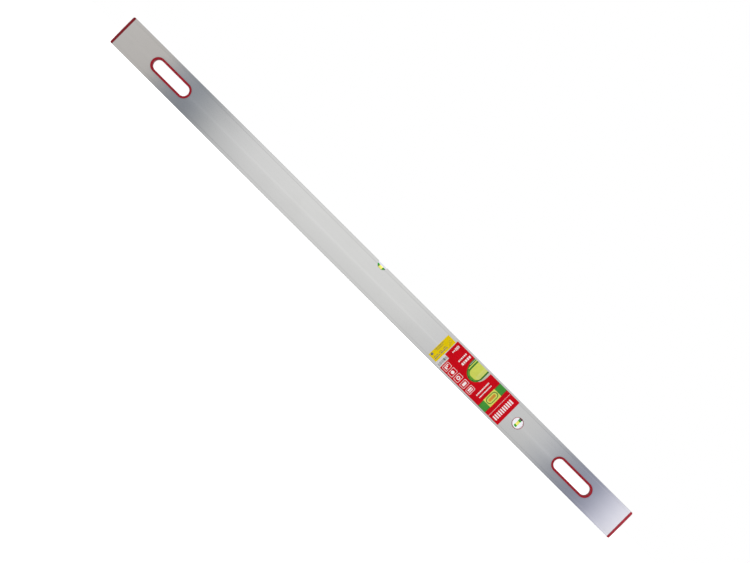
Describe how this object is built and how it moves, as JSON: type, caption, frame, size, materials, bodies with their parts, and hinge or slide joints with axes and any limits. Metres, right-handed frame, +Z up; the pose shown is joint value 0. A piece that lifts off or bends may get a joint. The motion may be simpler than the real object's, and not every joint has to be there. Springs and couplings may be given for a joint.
{
  "type": "spirit level",
  "caption": "Long flat box-section straightedge level with a hand hole near each end, a horizontal vial in the top edge and an upright vial in the face.",
  "frame": {"origin": "middle of the bottom measuring edge, where the level stands when it is in use", "axes": "+X along the level towards the end with the upright vial, +Z up to the edge with the horizontal vial, and the labelled front face looks along -Y"},
  "size_m": [2, 0.02, 0.1],
  "materials": {
    "aluminium": "extruded, fine lengthwise grain, clear anodised, satin",
    "red_plastic": "moulded, fine texture",
    "grey_plastic": "moulded",
    "acrylic": "clear polished acrylic",
    "plug_rubber": "matt",
    "vial_liquid": "tinted liquid",
    "field_green": "clear green tint",
    "line_black": "matt black",
    "vial_bubble": "air in liquid",
    "label_red": "printed film, satin gloss",
    "label_yellow": "printed paper, satin",
    "label_white": "printed paper, satin"
  },
  "bodies": {
    "root": {"box_profile": "aluminium", "care_label": "label_yellow", "end_cap_left": "red_plastic", "end_cap_right": "red_plastic", "left_grip_front": "red_plastic", "left_grip_rear": "red_plastic", "level_vial_block": "acrylic", "level_vial_cradle": "grey_plastic", "level_vial_field_left": "field_green", "level_vial_field_right": "field_green", "level_vial_line_left": "line_black", "level_vial_line_right": "line_black", "level_vial_liquid": "vial_liquid", "level_vial_plug": "plug_rubber", "main_label": "label_red", "plumb_ring_front": "red_plastic", "plumb_ring_rear": "red_plastic", "plumb_vial_block": "acrylic", "plumb_vial_field_lower": "field_green", "plumb_vial_field_upper": "field_green", "plumb_vial_line_lower": "line_black", "plumb_vial_line_upper": "line_black", "plumb_vial_liquid": "vial_liquid", "plumb_vial_plug": "plug_rubber", "right_grip_front": "red_plastic", "right_grip_rear": "red_plastic", "stock_label": "label_white"},
    "level_bubble": {"level_vial_bubble": "vial_bubble"},
    "plumb_bubble": {"plumb_vial_bubble": "vial_bubble"}
  },
  "joints": [
    {"name": "level_bubble_slide", "type": "slide", "parent": "root", "child": "level_bubble", "axis": [1, 0, 0], "range_m": [-0.0055, 0.0055], "stiffness_N_per_m": 12},
    {"name": "plumb_bubble_slide", "type": "slide", "parent": "root", "child": "plumb_bubble", "axis": [0, 0, 1], "range_m": [-0.0055, 0.0055], "stiffness_N_per_m": 12}
  ]
}
